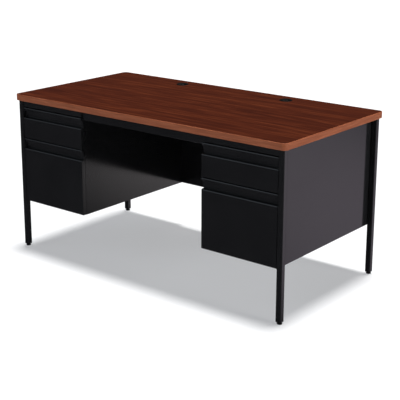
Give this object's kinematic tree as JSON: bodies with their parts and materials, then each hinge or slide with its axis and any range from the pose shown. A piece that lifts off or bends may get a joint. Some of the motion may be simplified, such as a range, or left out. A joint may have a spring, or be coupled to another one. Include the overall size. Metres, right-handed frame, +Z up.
{
  "type": "teacher desk",
  "caption": "Double pedestal steel desk with a laminate worktop, box and file drawers on telescopic slides, a modesty panel and levelling glides.",
  "frame": {"origin": "on the floor, under the middle of the worktop", "axes": "+X to the right as one faces the drawer fronts, +Y from the front to the back, +Z up"},
  "size_m": [1.524, 0.762, 0.7532],
  "materials": {
    "laminate": "satin mahogany wood-grain laminate",
    "edge_band": "satin plastic band with a lighter mahogany grain",
    "core_board": "particleboard with a brown backing sheet",
    "black_steel": "semi-gloss black powder coat",
    "zinc_steel": "bright zinc plating",
    "dark_plastic": "moulded black plastic",
    "rubber": "soft black rubber"
  },
  "bodies": {
    "desk": {"worktop_core": "core_board", "worktop_laminate": "laminate", "worktop_edge_band": "edge_band", "grommet_sleeves": "dark_plastic", "leg_front_left": "black_steel", "leg_front_right": "black_steel", "leg_rear_left": "black_steel", "leg_rear_right": "black_steel", "leg_inserts": "dark_plastic", "end_panel_left": "black_steel", "end_panel_right": "black_steel", "inner_panel_left": "black_steel", "inner_panel_right": "black_steel", "case_bottom_left": "black_steel", "case_bottom_right": "black_steel", "case_backs": "black_steel", "case_top_rail_left": "black_steel", "case_top_rail_right": "black_steel", "divider_rails": "black_steel", "knee_rail": "black_steel", "modesty_panel": "black_steel", "drawer_bumpers": "rubber", "top_screws": "zinc_steel", "leg_screws": "zinc_steel", "frame_screws": "black_steel", "slide_outer_members_left": "zinc_steel", "slide_outer_members_right": "zinc_steel"},
    "grommet_cap_left": {"grommet_cap_left": "dark_plastic"},
    "grommet_cap_right": {"grommet_cap_right": "dark_plastic"},
    "glide_front_left": {"glide_front_left": "dark_plastic"},
    "glide_front_right": {"glide_front_right": "dark_plastic"},
    "glide_rear_left": {"glide_rear_left": "dark_plastic"},
    "glide_rear_right": {"glide_rear_right": "dark_plastic"},
    "box_drawer_left": {"box_front_left": "black_steel", "box_tub_left": "black_steel", "box_tub_ends_left": "black_steel", "box_inner_members_left": "zinc_steel", "box_front_screws_left": "zinc_steel"},
    "box_slide_middle_left": {"box_middle_members_left": "zinc_steel"},
    "file_drawer_left": {"file_front_left": "black_steel", "file_tub_left": "black_steel", "file_tub_ends_left": "black_steel", "file_inner_members_left": "zinc_steel", "file_front_screws_left": "zinc_steel", "folder_rails_left": "zinc_steel"},
    "file_slide_middle_left": {"file_middle_members_left": "zinc_steel"},
    "box_drawer_right": {"box_front_right": "black_steel", "box_tub_right": "black_steel", "box_tub_ends_right": "black_steel", "box_inner_members_right": "zinc_steel", "box_front_screws_right": "zinc_steel"},
    "box_slide_middle_right": {"box_middle_members_right": "zinc_steel"},
    "file_drawer_right": {"file_front_right": "black_steel", "file_tub_right": "black_steel", "file_tub_ends_right": "black_steel", "file_inner_members_right": "zinc_steel", "file_front_screws_right": "zinc_steel", "folder_rails_right": "zinc_steel"},
    "file_slide_middle_right": {"file_middle_members_right": "zinc_steel"}
  },
  "joints": [
    {"name": "grommet_cap_left_lift", "type": "slide", "parent": "desk", "child": "grommet_cap_left", "axis": [0, 0, 1], "range_m": [0, 0.03]},
    {"name": "grommet_cap_right_lift", "type": "slide", "parent": "desk", "child": "grommet_cap_right", "axis": [0, 0, 1], "range_m": [0, 0.03]},
    {"name": "glide_front_left_adjust", "type": "slide", "parent": "desk", "child": "glide_front_left", "axis": [0, 0, -1], "range_m": [0, 0.012]},
    {"name": "glide_front_right_adjust", "type": "slide", "parent": "desk", "child": "glide_front_right", "axis": [0, 0, -1], "range_m": [0, 0.012]},
    {"name": "glide_rear_left_adjust", "type": "slide", "parent": "desk", "child": "glide_rear_left", "axis": [0, 0, -1], "range_m": [0, 0.012]},
    {"name": "glide_rear_right_adjust", "type": "slide", "parent": "desk", "child": "glide_rear_right", "axis": [0, 0, -1], "range_m": [0, 0.012]},
    {"name": "box_drawer_left_slide", "type": "slide", "parent": "desk", "child": "box_drawer_left", "axis": [0, -1, 0], "range_m": [0, 0.45]},
    {"name": "box_middle_left_slide", "type": "slide", "parent": "desk", "child": "box_slide_middle_left", "axis": [0, -1, 0], "range_m": [0, 0.225]},
    {"name": "file_drawer_left_slide", "type": "slide", "parent": "desk", "child": "file_drawer_left", "axis": [0, -1, 0], "range_m": [0, 0.6]},
    {"name": "file_middle_left_slide", "type": "slide", "parent": "desk", "child": "file_slide_middle_left", "axis": [0, -1, 0], "range_m": [0, 0.3]},
    {"name": "box_drawer_right_slide", "type": "slide", "parent": "desk", "child": "box_drawer_right", "axis": [0, -1, 0], "range_m": [0, 0.45]},
    {"name": "box_middle_right_slide", "type": "slide", "parent": "desk", "child": "box_slide_middle_right", "axis": [0, -1, 0], "range_m": [0, 0.225]},
    {"name": "file_drawer_right_slide", "type": "slide", "parent": "desk", "child": "file_drawer_right", "axis": [0, -1, 0], "range_m": [0, 0.6]},
    {"name": "file_middle_right_slide", "type": "slide", "parent": "desk", "child": "file_slide_middle_right", "axis": [0, -1, 0], "range_m": [0, 0.3]}
  ],
  "couplings": [
    {"joint": "box_middle_left_slide", "follows": "box_drawer_left_slide", "ratio": 0.5},
    {"joint": "file_middle_left_slide", "follows": "file_drawer_left_slide", "ratio": 0.5},
    {"joint": "box_middle_right_slide", "follows": "box_drawer_right_slide", "ratio": 0.5},
    {"joint": "file_middle_right_slide", "follows": "file_drawer_right_slide", "ratio": 0.5}
  ]
}
